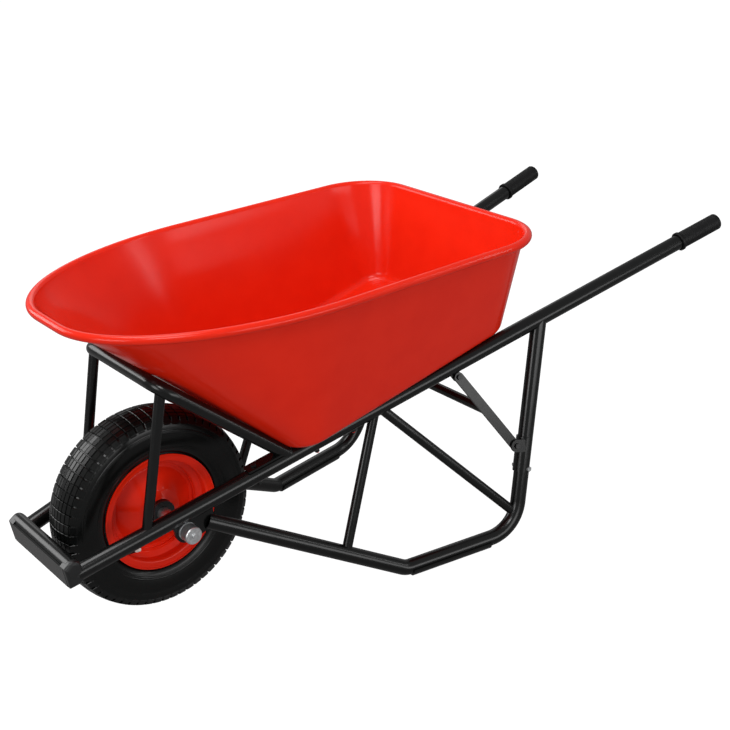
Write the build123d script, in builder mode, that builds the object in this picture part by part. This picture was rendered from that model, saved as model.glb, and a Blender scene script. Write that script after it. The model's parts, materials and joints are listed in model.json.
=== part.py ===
from build123d import *
import os
from math import cos, radians, sin, sqrt, tan

# A single-wheel barrow: a welded tube frame, a deep pressed steel tray, an air-filled
# wheel on a fixed axle. All sizes are in millimetres.
# +X points forward to the wheel, +Y to the left hand side, +Z up. The origin is on the
# ground, below the middle of the barrow.

os.makedirs("parts", exist_ok=True)

# ---------------------------------------------------------------- driving dimensions
# Wheel and axle
WHEEL_RADIUS = 200.0
TYRE_WIDTH = 100.0
RIM_FLANGE_RADIUS = 118.0
RIM_FLANGE_HALF_GAP = 38.0
RIM_SEAT_RADIUS = 104.0
RIM_WELL_RADIUS = 92.0
RIM_SHEET = 2.5
DISC_SHEET = 2.0
HUB_OUTER_RADIUS = 25.0
HUB_BORE_RADIUS = 21.0
HUB_HALF_LENGTH = 44.0
AXLE_RADIUS = 10.0
BEARING_WIDTH = 12.0
SPACER_RADIUS = 13.0

# Rails: one straight tube a side. They climb and spread towards the grips.
RAIL_RADIUS = 16.0
RAIL_WALL = 2.0
RAIL_RISE = 0.309
RAIL_SPREAD = 0.122
RAIL_HALF_GAP_AT_AXLE = 133.0
CAP_ROOM_BELOW_RAIL = 19.0
RAIL_ABOVE_AXLE = RAIL_RADIUS + CAP_ROOM_BELOW_RAIL
RAIL_FRONT = 212.0
GRIP_END = -1260.0

# Leg tubes: from the axle bracket down to the foot, along it and up to the rail
LEG_FRONT = -47.0
LEG_FRONT_HALF_GAP = 130.0
LEG_FRONT_ABOVE_AXLE = 5.0
LEG_FRONT_HEIGHT = WHEEL_RADIUS + LEG_FRONT_ABOVE_AXLE
FOOT_CORNER = -443.5
FOOT_HALF_GAP = 237.0
FOOT_SLOPE = 5.8
FOOT_BEND_RADIUS = 34.0
LEG_BEND = -700.0
LEG_BEND_RADIUS = 81.0
LEG_TOP = -792.0
SHOE_SHEET = 3.5
SHOE_FRONT_LAP = 10.0
SHOE_LENGTH = 184.0

# Hoop below the front of the tray, with its uprights
HOOP_RADIUS = 13.5
HOOP_WALL = 2.0
HOOP_AHEAD = 36.0
HOOP_HALF_WIDTH = 139.0
HOOP_BEND_RADIUS = 40.0
UPRIGHT_FOOT = 77.0

# Light tubes and bars
STRUT_RADIUS = 10.0
STRUT_WALL = 1.8
MID_STRUT_TOP = -404.0
MID_STRUT_FOOT_SHARE = 0.683
DIAGONAL_TOP = -412.0
BRACE_TOP = -596.0
BRACE_TOP_DROP = 30.0
BRACE_FOOT_HEIGHT = 222.0
BRACE_FOOT_CLEAR_OF_LEG = 14.0
BRACE_FOOT_FORWARD = RAIL_RADIUS + BRACE_FOOT_CLEAR_OF_LEG
BRACE_WIDTH = 20.0
BRACE_THICKNESS = 6.0
PLATE_THICKNESS = 5.0
BRACE_TUBE_SHARE = 0.47

# Nose of the frame
NOSE_AHEAD = 222.0
NOSE_TUBE_RADIUS = 15.0
NOSE_TUBE_RAISE = 20.0
NOSE_HALF_LENGTH = 110.0
NOSE_PLATE_SHEET = 4.0
NOSE_PLATE_HEIGHT = 42.0
NOSE_PLATE_LEAN = 12.0

# Tray
TRAY_SHEET = 1.5
FLOOR_FRONT = -220.0
FLOOR_REAR = -724.0
FLOOR_FRONT_HALF = 208.0
FLOOR_REAR_HALF = 222.0
FLOOR_FRONT_CORNER = 55.0
FLOOR_REAR_CORNER = 50.0
FLOOR_EDGE_RADIUS = 14.0
RIM_REAR = -746.0
RIM_REAR_HEIGHT = 678.0
RIM_LENGTH = 921.0
RIM_DROP = 4.3
RIM_REAR_HALF = 287.0
RIM_FRONT_HALF = 296.0
RIM_REAR_CORNER = 110.0
RIM_NOSE_LENGTH = 420.0
RIM_NOSE_FLAT = 40.0
BEAD_RADIUS = 8.5
BEAD_SHEET = 1.5
TRAY_BOLT_STATIONS = (-270.0, -350.0)
HOOP_BOLT_STATION = -146.0

# Grips
GRIP_LENGTH = 112.0
GRIP_RADIUS = 18.0
GRIP_COLLAR_RADIUS = 20.5
GRIP_COLLAR_LENGTH = 7.0
GRIP_END_WALL = 5.0
GRIP_END_ROUND = 5.0

# Fasteners
BOLT_RADIUS = 3.0
BOLT_HEAD = 10.0
BOLT_HEAD_HEIGHT = 4.0
NUT_HEIGHT = 5.0
BOLT_TAIL = 3.0
DOME_HEAD_RADIUS = 7.0
DOME_HEAD_HEIGHT = 2.6
DOME_HEAD_TAPER = 50.0

# Clearances
WELD_GAP = 0.05
BORE_CLEARANCE = 0.05
RUNNING_GAP = 0.5
SIDE_PLAY = 0.3

# ------------------------------------------------------------------- worked-out values
RAIL_LENGTH_FACTOR = sqrt(1 + RAIL_RISE**2 + RAIL_SPREAD**2)
BACKWARD = Vector(-1, RAIL_SPREAD, RAIL_RISE) / RAIL_LENGTH_FACTOR

# The axle's place ahead of the middle: the grips reach furthest back, with their rounded
# lower edges, and the top edge of the nose plate reaches furthest ahead.
GRIP_EDGE_REACH = (GRIP_RADIUS - GRIP_END_ROUND) * sqrt(1 - BACKWARD.X**2)
GRIP_REACH = -GRIP_END + GRIP_END_ROUND * (1 + BACKWARD.X) + GRIP_EDGE_REACH
NOSE_REACH = NOSE_AHEAD + NOSE_TUBE_RADIUS + NOSE_PLATE_SHEET * cos(radians(NOSE_PLATE_LEAN))
AXLE_X = (GRIP_REACH - NOSE_REACH) / 2
AXLE_Z = WHEEL_RADIUS


def at(ahead, left, height):
    """A point given by its distance ahead of the axle, to the left and above the ground."""
    return Vector(AXLE_X + ahead, left, height)


def rail_at(ahead):
    """The point of the left rail's centre line at a distance ahead of the axle."""
    left = RAIL_HALF_GAP_AT_AXLE - RAIL_SPREAD * ahead
    return at(ahead, left, AXLE_Z + RAIL_ABOVE_AXLE - RAIL_RISE * ahead)


# ------------------------------------------------------------------------------ helpers
def save(part, name):
    """Label one finished piece and write it to its own file."""
    part.label = name
    export_step(part, f"parts/{name}.step")


def mirrored(part):
    """The right hand twin of a left hand piece."""
    with BuildPart() as twin:
        mirror(part, about=Plane.XZ)
    return twin.part


def save_pair(part, name):
    """Write a left hand piece and its right hand twin."""
    save(part, "left_" + name)
    save(mirrored(part), "right_" + name)


def save_group(parts, name):
    """Write left hand fasteners and their right hand twins as one group of solids."""
    with BuildPart() as group:
        for part in parts:
            add(part)
            add(mirrored(part))
    save(group.part, name)


def rod(start, end, radius):
    """A solid round rod between two points."""
    direction = end - start
    with BuildPart() as body:
        with BuildSketch(Plane(origin=start, z_dir=direction)):
            Circle(radius)
        extrude(amount=direction.length)
    return body.part


def tube(start, end, radius, wall, copes):
    """A straight round tube, coped to the pieces that it is welded to."""
    direction = end - start
    with BuildPart() as body:
        with BuildSketch(Plane(origin=start, z_dir=direction)):
            Circle(radius)
            Circle(radius - wall, mode=Mode.SUBTRACT)
        extrude(amount=direction.length)
        for cope in copes:
            add(cope, mode=Mode.SUBTRACT)
    return body.part


def bent(line, radius, wall=0.0):
    """A round bar, or a tube where a wall is given, swept along a bent line."""
    start = Plane(origin=line @ 0, z_dir=line % 0)
    with BuildPart() as body:
        with BuildSketch(start):
            Circle(radius)
            if wall > 0:
                Circle(radius - wall, mode=Mode.SUBTRACT)
        sweep(path=line)
    return body.part


def hex_bolt(seat, grip_length):
    """A hexagon bolt: its head stands on the seat plane, its shank goes below it."""
    with BuildPart() as bolt:
        with BuildSketch(seat):
            RegularPolygon(BOLT_HEAD / 2, 6, major_radius=False)
        extrude(amount=BOLT_HEAD_HEIGHT)
        with BuildSketch(seat):
            Circle(BOLT_RADIUS)
        extrude(amount=-grip_length)
    return bolt.part


def dome_bolt(seat, grip_length):
    """A bolt with a low domed head on the seat plane and its shank below it."""
    with BuildPart() as bolt:
        with BuildSketch(seat):
            Circle(DOME_HEAD_RADIUS)
        extrude(amount=DOME_HEAD_HEIGHT, taper=DOME_HEAD_TAPER)
        with BuildSketch(seat):
            Circle(BOLT_RADIUS)
        extrude(amount=-grip_length)
    return bolt.part


def hex_nut(seat):
    """A hexagon nut that hangs below the seat plane, bored for the bolt."""
    with BuildPart() as nut:
        with BuildSketch(seat):
            RegularPolygon(BOLT_HEAD / 2, 6, major_radius=False)
            Circle(BOLT_RADIUS + BORE_CLEARANCE, mode=Mode.SUBTRACT)
        extrude(amount=-NUT_HEIGHT)
    return nut.part


# -------------------------------------------------------------------- tray seat and floor
# The tray's floor lies on the tops of both rails, so its plane climbs as they do.
FLOOR_NORMAL = Vector(RAIL_RISE, 0, 1).normalized()
FLOOR_FORWARD = Vector(1, 0, -RAIL_RISE).normalized()
SEAT_ORIGIN = at(0, 0, AXLE_Z + RAIL_ABOVE_AXLE) + FLOOR_NORMAL * (RAIL_RADIUS + WELD_GAP)
FLOOR_PLANE = Plane(origin=SEAT_ORIGIN, x_dir=FLOOR_FORWARD, z_dir=FLOOR_NORMAL)
RIM_FORWARD = Vector(cos(radians(RIM_DROP)), 0, -sin(radians(RIM_DROP)))
RIM_NORMAL = Vector(sin(radians(RIM_DROP)), 0, cos(radians(RIM_DROP)))
RIM_PLANE = Plane(origin=at(RIM_REAR, 0, RIM_REAR_HEIGHT), x_dir=RIM_FORWARD, z_dir=RIM_NORMAL)


def floor_station(ahead):
    """Distance along the floor plane, from its origin, of a point ahead of the axle."""
    return (AXLE_X + ahead - SEAT_ORIGIN.X) / FLOOR_FORWARD.X


def floor_point(ahead):
    """The point on the middle line of the tray's underside."""
    return SEAT_ORIGIN + FLOOR_FORWARD * floor_station(ahead)


NOSE_OF_FLOOR = floor_point(FLOOR_FRONT)
NOSE_OF_RIM = RIM_PLANE.origin + RIM_FORWARD * RIM_LENGTH
FRONT_SLOPE = (NOSE_OF_RIM - NOSE_OF_FLOOR).normalized()
FRONT_NORMAL = Vector(-FRONT_SLOPE.Z, 0, FRONT_SLOPE.X)

# ------------------------------------------------------------- rails and what drills them
rail_front = rail_at(RAIL_FRONT)
grip_face = rail_at(GRIP_END)
rail_end = grip_face - BACKWARD * GRIP_END_WALL
rail_solid = rod(rail_front, rail_end, RAIL_RADIUS + WELD_GAP)


def tray_bolt_seat(ahead):
    """The plane of the tray's underside, centred over the left rail."""
    on_rail = rail_at(ahead) + FLOOR_NORMAL * (RAIL_RADIUS + WELD_GAP)
    return Plane(origin=on_rail, x_dir=FLOOR_FORWARD, z_dir=FLOOR_NORMAL)


DRILLED_STATIONS = TRAY_BOLT_STATIONS + (HOOP_BOLT_STATION,)
DRILL_REACH = 60.0


def drill(plane):
    """The hole that a bolt needs, well past the plane on both sides."""
    with BuildPart() as hole:
        with BuildSketch(plane):
            Circle(BOLT_RADIUS + BORE_CLEARANCE)
        extrude(amount=DRILL_REACH, both=True)
    return hole.part


rail_drills = [drill(tray_bolt_seat(station)) for station in DRILLED_STATIONS]
left_rail = tube(rail_front, rail_end, RAIL_RADIUS, RAIL_WALL, rail_drills)
save_pair(left_rail, "rail")

# Each rail's open front end is closed by a plug, whose head carries the tube's outline on
# to the nose plate and ends in a low dome.
PLUG_DEPTH = 12.0
PLUG_SKIRT = 14.0
PLUG_DOME = 2.5
PLUG_DOME_TAPER = 48.0
plug_seat = Plane(origin=rail_front - BACKWARD * WELD_GAP, z_dir=BACKWARD)
with BuildPart() as rail_plug:
    with BuildSketch(plug_seat):
        Circle(RAIL_RADIUS - RAIL_WALL - BORE_CLEARANCE)
    extrude(amount=PLUG_DEPTH)
    with BuildSketch(plug_seat):
        Circle(RAIL_RADIUS)
    extrude(amount=-PLUG_SKIRT)
    with BuildSketch(plug_seat.offset(-PLUG_SKIRT)):
        Circle(RAIL_RADIUS)
    extrude(amount=-PLUG_DOME, taper=PLUG_DOME_TAPER)
save_pair(rail_plug.part, "rail_plug")

# --------------------------------------------------------------------------- leg tubes
leg_start = at(LEG_FRONT, LEG_FRONT_HALF_GAP, LEG_FRONT_HEIGHT)
leg_top = rail_at(LEG_TOP)
shoe_radius = RAIL_RADIUS + SHOE_SHEET


def leg_plane_normal():
    """Normal of the plane that holds the whole leg tube."""
    corner = at(FOOT_CORNER, FOOT_HALF_GAP, shoe_radius)
    return (corner - leg_start).cross(leg_top - leg_start).normalized()


LEG_NORMAL = leg_plane_normal()


def on_leg_plane(ahead, height):
    """The point of the leg tube's plane at a distance ahead of the axle and a height."""
    run = AXLE_X + ahead - leg_start.X
    rise = height - leg_start.Z
    left = leg_start.Y - (LEG_NORMAL.X * run + LEG_NORMAL.Z * rise) / LEG_NORMAL.Y
    return Vector(AXLE_X + ahead, left, height)


def foot_height(ahead, at_corner):
    """Height of the foot's centre line, which climbs towards the rear."""
    return at_corner + (FOOT_CORNER - ahead) * tan(radians(FOOT_SLOPE))


def foot_corner_height():
    """Height of the foot's corner that puts the front edge of its shoe on the ground."""
    along = on_leg_plane(LEG_BEND, foot_height(LEG_BEND, 0)) - on_leg_plane(FOOT_CORNER, 0)
    along = along.normalized()
    return shoe_radius * sqrt(1 - along.Z**2) - SHOE_FRONT_LAP * along.Z


corner_height = foot_corner_height()
foot_corner = on_leg_plane(FOOT_CORNER, corner_height)
leg_bend = on_leg_plane(LEG_BEND, foot_height(LEG_BEND, corner_height))
with BuildLine() as leg_line:
    FilletPolyline(
        leg_start,
        foot_corner,
        leg_bend,
        leg_top,
        radius=[FOOT_BEND_RADIUS, LEG_BEND_RADIUS],
    )
leg_path = leg_line.wire()
leg_solid = bent(leg_path, RAIL_RADIUS + WELD_GAP)

# The saddle on the leg, which carries the brace, stands at the height of the brace's foot.
leg_axis = (leg_top - leg_bend).normalized()


def leg_centre(height):
    """The point of the upper leg's centre line at a height."""
    return leg_bend + leg_axis * ((height - leg_bend.Z) / leg_axis.Z)


SADDLE_SHEET = 3.0
SADDLE_LENGTH = 74.0
SADDLE_TOP_MARGIN = 18.0
SADDLE_BOLT_MARGIN = 8.0
leg_side = (Vector(0, 1, 0) - leg_axis * leg_axis.Y).normalized()
leg_front = leg_side.cross(leg_axis) * -1
if leg_front.X < 0:
    leg_front = leg_front * -1
saddle_top = leg_centre(BRACE_FOOT_HEIGHT + SADDLE_TOP_MARGIN)
saddle_foot = saddle_top - leg_axis * SADDLE_LENGTH
leg_bolt_centre = saddle_foot + leg_axis * SADDLE_BOLT_MARGIN
saddle_reach = RAIL_RADIUS + WELD_GAP + SADDLE_SHEET
leg_bolt_seat = Plane(origin=leg_bolt_centre + leg_side * saddle_reach, x_dir=leg_axis, z_dir=leg_side)
leg_nut_seat = Plane(origin=leg_bolt_centre - leg_side * saddle_reach, x_dir=leg_axis, z_dir=leg_side)

with BuildPart() as leg_tube:
    with BuildSketch(Plane(origin=leg_path @ 0, z_dir=leg_path % 0)):
        Circle(RAIL_RADIUS)
        Circle(RAIL_RADIUS - RAIL_WALL, mode=Mode.SUBTRACT)
    sweep(path=leg_path)
    add(rail_solid, mode=Mode.SUBTRACT)
    add(drill(leg_bolt_seat), mode=Mode.SUBTRACT)
save_pair(leg_tube.part, "leg_tube")

# ------------------------------------------------------------------------- skid shoes
foot_along = (leg_bend - foot_corner).normalized()
shoe_front = foot_corner + foot_along * SHOE_FRONT_LAP
foot_up = (Vector(0, 0, 1) - foot_along * foot_along.Z).normalized()
foot_across = foot_up.cross(foot_along)
with BuildPart() as skid_shoe:
    with BuildSketch(Plane(origin=shoe_front, x_dir=foot_across, z_dir=foot_along)):
        Circle(shoe_radius)
        Circle(RAIL_RADIUS + WELD_GAP, mode=Mode.SUBTRACT)
        with Locations((0, shoe_radius)):
            Rectangle(2 * shoe_radius, 2 * shoe_radius, mode=Mode.SUBTRACT)
    extrude(amount=SHOE_LENGTH)
    add(leg_solid, mode=Mode.SUBTRACT)
save_pair(skid_shoe.part, "skid_shoe")

# ------------------------------------------------------------------------------- hoop
hoop_depth = HOOP_RADIUS + RUNNING_GAP
slope_share = (HOOP_AHEAD + AXLE_X - NOSE_OF_FLOOR.X) / FRONT_SLOPE.X
hoop_centre = NOSE_OF_FLOOR + FRONT_SLOPE * slope_share - FRONT_NORMAL * hoop_depth
hoop_plane = Plane(origin=hoop_centre, x_dir=(0, 1, 0), z_dir=FRONT_NORMAL)
hoop_drop = (hoop_centre.Z - rail_at(hoop_centre.X - AXLE_X).Z) / (FRONT_SLOPE.Z + RAIL_RISE * FRONT_SLOPE.X)
hoop_landing = rail_at(hoop_centre.X - AXLE_X - FRONT_SLOPE.X * hoop_drop)
with BuildLine(hoop_plane) as hoop_line:
    FilletPolyline(
        (hoop_landing.Y, hoop_drop),
        (HOOP_HALF_WIDTH, 0),
        (-HOOP_HALF_WIDTH, 0),
        (-hoop_landing.Y, hoop_drop),
        radius=HOOP_BEND_RADIUS,
    )
hoop_path = hoop_line.wire()
hoop_solid = bent(hoop_path, HOOP_RADIUS + WELD_GAP)
with BuildPart() as tray_hoop:
    with BuildSketch(Plane(origin=hoop_path @ 0, z_dir=hoop_path % 0)):
        Circle(HOOP_RADIUS)
        Circle(HOOP_RADIUS - HOOP_WALL, mode=Mode.SUBTRACT)
    sweep(path=hoop_path)
    add(rail_solid, mode=Mode.SUBTRACT)
    add(mirrored(rail_solid), mode=Mode.SUBTRACT)
save(tray_hoop.part, "tray_hoop")

# The foot plate on each rail, where a leg of the hoop lands, is held by a bolt.
FOOT_PLATE_SHEET = 4.0
FOOT_PLATE_WIDTH = 26.0
FOOT_PLATE_FRONT = -130.0
FOOT_PLATE_REAR = -212.0
with BuildPart() as hoop_foot_plate:
    plate_middle = (FOOT_PLATE_FRONT + FOOT_PLATE_REAR) / 2
    plate_length = (FOOT_PLATE_FRONT - FOOT_PLATE_REAR) * RAIL_LENGTH_FACTOR
    plate_along = BACKWARD * -1
    plate_seat = rail_at(plate_middle) + FLOOR_NORMAL * (RAIL_RADIUS + WELD_GAP)
    with BuildSketch(Plane(origin=plate_seat, x_dir=plate_along, z_dir=FLOOR_NORMAL)):
        RectangleRounded(plate_length, FOOT_PLATE_WIDTH, FOOT_PLATE_SHEET)
    extrude(amount=FOOT_PLATE_SHEET)
    add(hoop_solid, mode=Mode.SUBTRACT)
    add(drill(tray_bolt_seat(HOOP_BOLT_STATION)), mode=Mode.SUBTRACT)
save_pair(hoop_foot_plate.part, "hoop_foot_plate")

rail_depth = 2 * (RAIL_RADIUS + WELD_GAP)
nut_room = NUT_HEIGHT + BOLT_TAIL
hoop_bolt_seat = tray_bolt_seat(HOOP_BOLT_STATION).offset(FOOT_PLATE_SHEET + WELD_GAP)
hoop_bolt = hex_bolt(hoop_bolt_seat, rail_depth + FOOT_PLATE_SHEET + nut_room)
save_group([hoop_bolt], "hoop_bolts")
save_group([hex_nut(tray_bolt_seat(HOOP_BOLT_STATION).offset(-rail_depth))], "hoop_nuts")

# Uprights from the hoop's bends down to the rails
bend_inset = HOOP_BEND_RADIUS * (1 - cos(radians(45)))
hoop_bend_point = hoop_plane.from_local_coords(Vector(HOOP_HALF_WIDTH - bend_inset, bend_inset, 0))
hoop_upright = tube(
    rail_at(UPRIGHT_FOOT),
    hoop_bend_point,
    STRUT_RADIUS,
    STRUT_WALL,
    [rail_solid, hoop_solid],
)
save_pair(hoop_upright, "hoop_upright")

# ------------------------------------------------------------------------------ struts
foot_run = foot_corner - leg_start
mid_strut_foot = leg_start + foot_run * MID_STRUT_FOOT_SHARE
mid_strut = tube(rail_at(MID_STRUT_TOP), mid_strut_foot, STRUT_RADIUS, STRUT_WALL, [rail_solid, leg_solid])
save_pair(mid_strut, "mid_strut")

DIAGONAL_FOOT_LIFT = 40.0
leg_lower = on_leg_plane(LEG_BEND, foot_height(LEG_BEND, corner_height) + DIAGONAL_FOOT_LIFT)
diagonal_strut = tube(
    rail_at(DIAGONAL_TOP),
    leg_lower,
    STRUT_RADIUS,
    STRUT_WALL,
    [rail_solid, leg_solid],
)
save_pair(diagonal_strut, "diagonal_strut")

# ----------------------------------------------------------------- braces of the legs
# Each brace is a flat bar between a tab below the rail and the saddle on the leg.
brace_top = rail_at(BRACE_TOP) - Vector(0, 0, BRACE_TOP_DROP)
brace_foot = leg_centre(BRACE_FOOT_HEIGHT) + leg_front * BRACE_FOOT_FORWARD
brace_along = (brace_foot - brace_top).normalized()
brace_outward = (Vector(0, 1, 0) - brace_along * brace_along.Y).normalized()
brace_length = (brace_foot - brace_top).length
brace_plane = Plane(origin=brace_top, x_dir=brace_along, z_dir=brace_outward)
tab_plane = brace_plane.offset(-PLATE_THICKNESS - BORE_CLEARANCE)


def brace_bolt_seat(distance):
    """The plane of the brace's outer face, centred on a bolt at a distance down the bar."""
    on_face = brace_top + brace_along * distance + brace_outward * BRACE_THICKNESS
    return Plane(origin=on_face, x_dir=brace_along, z_dir=brace_outward)


brace_stack = BRACE_THICKNESS + BORE_CLEARANCE + PLATE_THICKNESS
BRACE_END_MARGIN = BRACE_WIDTH / 2
with BuildPart() as leg_brace:
    with BuildSketch(brace_plane):
        with Locations((brace_length / 2, 0)):
            SlotOverall(brace_length + 2 * BRACE_END_MARGIN, BRACE_WIDTH)
    extrude(amount=BRACE_THICKNESS)
    add(drill(brace_bolt_seat(0)), mode=Mode.SUBTRACT)
    add(drill(brace_bolt_seat(brace_length)), mode=Mode.SUBTRACT)
    add(rail_solid, mode=Mode.SUBTRACT)
    add(leg_solid, mode=Mode.SUBTRACT)
save_pair(leg_brace.part, "leg_brace")

# The tab is welded below the rail, against the brace's inner face.
with BuildPart() as brace_tab:
    with BuildSketch(tab_plane):
        with Locations((-BRACE_TOP_DROP / 2, 0)):
            SlotOverall(BRACE_TOP_DROP + BRACE_WIDTH, BRACE_WIDTH)
    extrude(amount=PLATE_THICKNESS)
    add(rail_solid, mode=Mode.SUBTRACT)
    add(drill(brace_bolt_seat(0)), mode=Mode.SUBTRACT)
save_pair(brace_tab.part, "brace_tab")

# The saddle wraps the front of the leg, with an ear over the outer face of the brace's foot.
EAR_RADIUS = 13.0
ear_centre = brace_foot + brace_outward * (BRACE_THICKNESS + BORE_CLEARANCE)
ear_plane = Plane(origin=ear_centre, x_dir=leg_front * -1, z_dir=brace_outward)
saddle_back = Plane(origin=saddle_foot, z_dir=leg_front)
with BuildPart() as leg_saddle:
    with BuildSketch(Plane(origin=saddle_foot, x_dir=leg_side, z_dir=leg_axis)):
        Circle(saddle_reach)
        Circle(RAIL_RADIUS + WELD_GAP, mode=Mode.SUBTRACT)
    extrude(amount=SADDLE_LENGTH)
    split(bisect_by=saddle_back, keep=Keep.TOP)
    with BuildSketch(ear_plane):
        Circle(EAR_RADIUS)
        Rectangle(BRACE_FOOT_FORWARD, 2 * EAR_RADIUS, align=(Align.MIN, Align.CENTER))
    extrude(amount=PLATE_THICKNESS)
    add(leg_solid, mode=Mode.SUBTRACT)
    split(bisect_by=saddle_back, keep=Keep.TOP)
    add(drill(leg_bolt_seat), mode=Mode.SUBTRACT)
    add(drill(brace_bolt_seat(brace_length)), mode=Mode.SUBTRACT)
save_pair(leg_saddle.part, "leg_saddle")

foot_seat = brace_bolt_seat(brace_length).offset(PLATE_THICKNESS + BORE_CLEARANCE)
brace_seats = (brace_bolt_seat(0), foot_seat)
nut_drop = brace_stack + WELD_GAP
brace_bolts = [hex_bolt(seat.offset(WELD_GAP), brace_stack + nut_room) for seat in brace_seats]
brace_nuts = [hex_nut(seat.offset(-nut_drop)) for seat in brace_seats]
save_group(brace_bolts, "brace_bolts")
save_group(brace_nuts, "brace_nuts")
save_group([hex_bolt(leg_bolt_seat, 2 * saddle_reach + nut_room)], "leg_bolts")
save_group([hex_nut(leg_nut_seat)], "leg_nuts")

# One cross tube joins the two braces.
cross_station = brace_top + brace_along * (brace_length * BRACE_TUBE_SHARE)
cross_station = cross_station + brace_outward * (BRACE_THICKNESS / 2)
opposite_station = Vector(cross_station.X, -cross_station.Y, cross_station.Z)
with BuildPart() as beyond_brace:
    with BuildSketch(brace_plane.offset(-WELD_GAP)):
        with Locations((brace_length / 2, 0)):
            Rectangle(2 * brace_length, brace_length)
    extrude(amount=BRACE_WIDTH)
brace_cross_tube = tube(
    cross_station,
    opposite_station,
    STRUT_RADIUS,
    STRUT_WALL,
    [beyond_brace.part, mirrored(beyond_brace.part)],
)
save(brace_cross_tube, "brace_cross_tube")

# ----------------------------------------------------------------------- nose of frame
# A cross tube lies over the front ends of the rails, above a plate that leans back.
nose_height = rail_at(NOSE_AHEAD).Z + NOSE_TUBE_RAISE
nose_left = at(NOSE_AHEAD, NOSE_HALF_LENGTH, nose_height)
nose_right = at(NOSE_AHEAD, -NOSE_HALF_LENGTH, nose_height)
nose_rod = rod(nose_left, nose_right, NOSE_TUBE_RADIUS + WELD_GAP)
plug_reach = BACKWARD * (PLUG_SKIRT + PLUG_DOME + 2 * WELD_GAP)
rail_nose = rod(rail_front + plug_reach, rail_front - plug_reach, RAIL_RADIUS + WELD_GAP)
rail_noses = [rail_nose, mirrored(rail_nose)]
save(tube(nose_left, nose_right, NOSE_TUBE_RADIUS, STRUT_WALL, rail_noses), "nose_tube")

nose_plug_seat = Plane(origin=nose_left + Vector(0, WELD_GAP, 0), z_dir=(0, 1, 0))
NOSE_PLUG_DEPTH = 8.0
NOSE_PLUG_DOME = 6.0
with BuildPart() as nose_plug:
    with BuildSketch(nose_plug_seat):
        Circle(NOSE_TUBE_RADIUS - STRUT_WALL - BORE_CLEARANCE)
    extrude(amount=-NOSE_PLUG_DEPTH)
    with BuildSketch(nose_plug_seat):
        Circle(NOSE_TUBE_RADIUS)
    extrude(amount=NOSE_PLUG_DOME, taper=PLUG_DOME_TAPER)
    add(rail_nose, mode=Mode.SUBTRACT)
save_pair(nose_plug.part, "nose_plug")

plate_down = Vector(-sin(radians(NOSE_PLATE_LEAN)), 0, -cos(radians(NOSE_PLATE_LEAN)))
plate_top = at(NOSE_AHEAD + NOSE_TUBE_RADIUS, 0, nose_height + NOSE_PLATE_SHEET)
nose_plate_plane = Plane(origin=plate_top, x_dir=plate_down, z_dir=(0, 1, 0))
with BuildPart() as nose_plate:
    with BuildSketch(nose_plate_plane):
        Rectangle(NOSE_PLATE_HEIGHT, NOSE_PLATE_SHEET, align=(Align.MIN, Align.MAX))
    extrude(amount=NOSE_HALF_LENGTH, both=True)
    add(nose_rod, mode=Mode.SUBTRACT)
    add(rail_noses[0], mode=Mode.SUBTRACT)
    add(rail_noses[1], mode=Mode.SUBTRACT)
save(nose_plate.part, "nose_plate")

# ---------------------------------------------------------------- axle and its brackets
BRACKET_INNER = 130.0
BRACKET_THICKNESS = 6.0
BRACKET_BOSS = 24.0
BRACKET_FRONT = 34.0
BRACKET_REAR = -58.0
BRACKET_REAR_DROP = -9.0
CAP_RADIUS = 17.5
CAP_FLANGE_RADIUS = 17.9
CAP_FLANGE = 3.0
CAP_LENGTH = 27.0
CAP_CHAMFER = 1.6
CAP_BOSS_RADIUS = 5.0
CAP_BOSS_HEIGHT = 3.5
AXLE_END_IN_CAP = 13.0


def side_plane(left):
    """The upright plane across the axle at a distance left: x forward, y up, from the axle."""
    return Plane(origin=at(0, left, AXLE_Z), x_dir=(1, 0, 0), z_dir=(0, -1, 0))


def ring(inner_end, outer_end, radius, bore):
    """A ring about the axle's line, between two distances to the left."""
    with BuildPart() as body:
        with BuildSketch(side_plane(inner_end)):
            Circle(radius)
            Circle(bore, mode=Mode.SUBTRACT)
        extrude(amount=inner_end - outer_end)
    return body.part


axle_bore = AXLE_RADIUS + BORE_CLEARANCE
bracket_outer = BRACKET_INNER + BRACKET_THICKNESS
with BuildPart() as axle_bracket:
    with BuildSketch(side_plane(BRACKET_INNER)):
        with BuildLine():
            Polyline(
                (BRACKET_FRONT, RAIL_ABOVE_AXLE - RAIL_RISE * BRACKET_FRONT),
                (BRACKET_BOSS, 0),
                (0, -BRACKET_BOSS),
                (BRACKET_REAR, BRACKET_REAR_DROP),
                (BRACKET_REAR, RAIL_ABOVE_AXLE - RAIL_RISE * BRACKET_REAR),
                close=True,
            )
        make_face()
        Circle(BRACKET_BOSS)
        Circle(axle_bore, mode=Mode.SUBTRACT)
    extrude(amount=-BRACKET_THICKNESS)
    add(rail_solid, mode=Mode.SUBTRACT)
    add(leg_solid, mode=Mode.SUBTRACT)
save_pair(axle_bracket.part, "axle_bracket")

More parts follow.
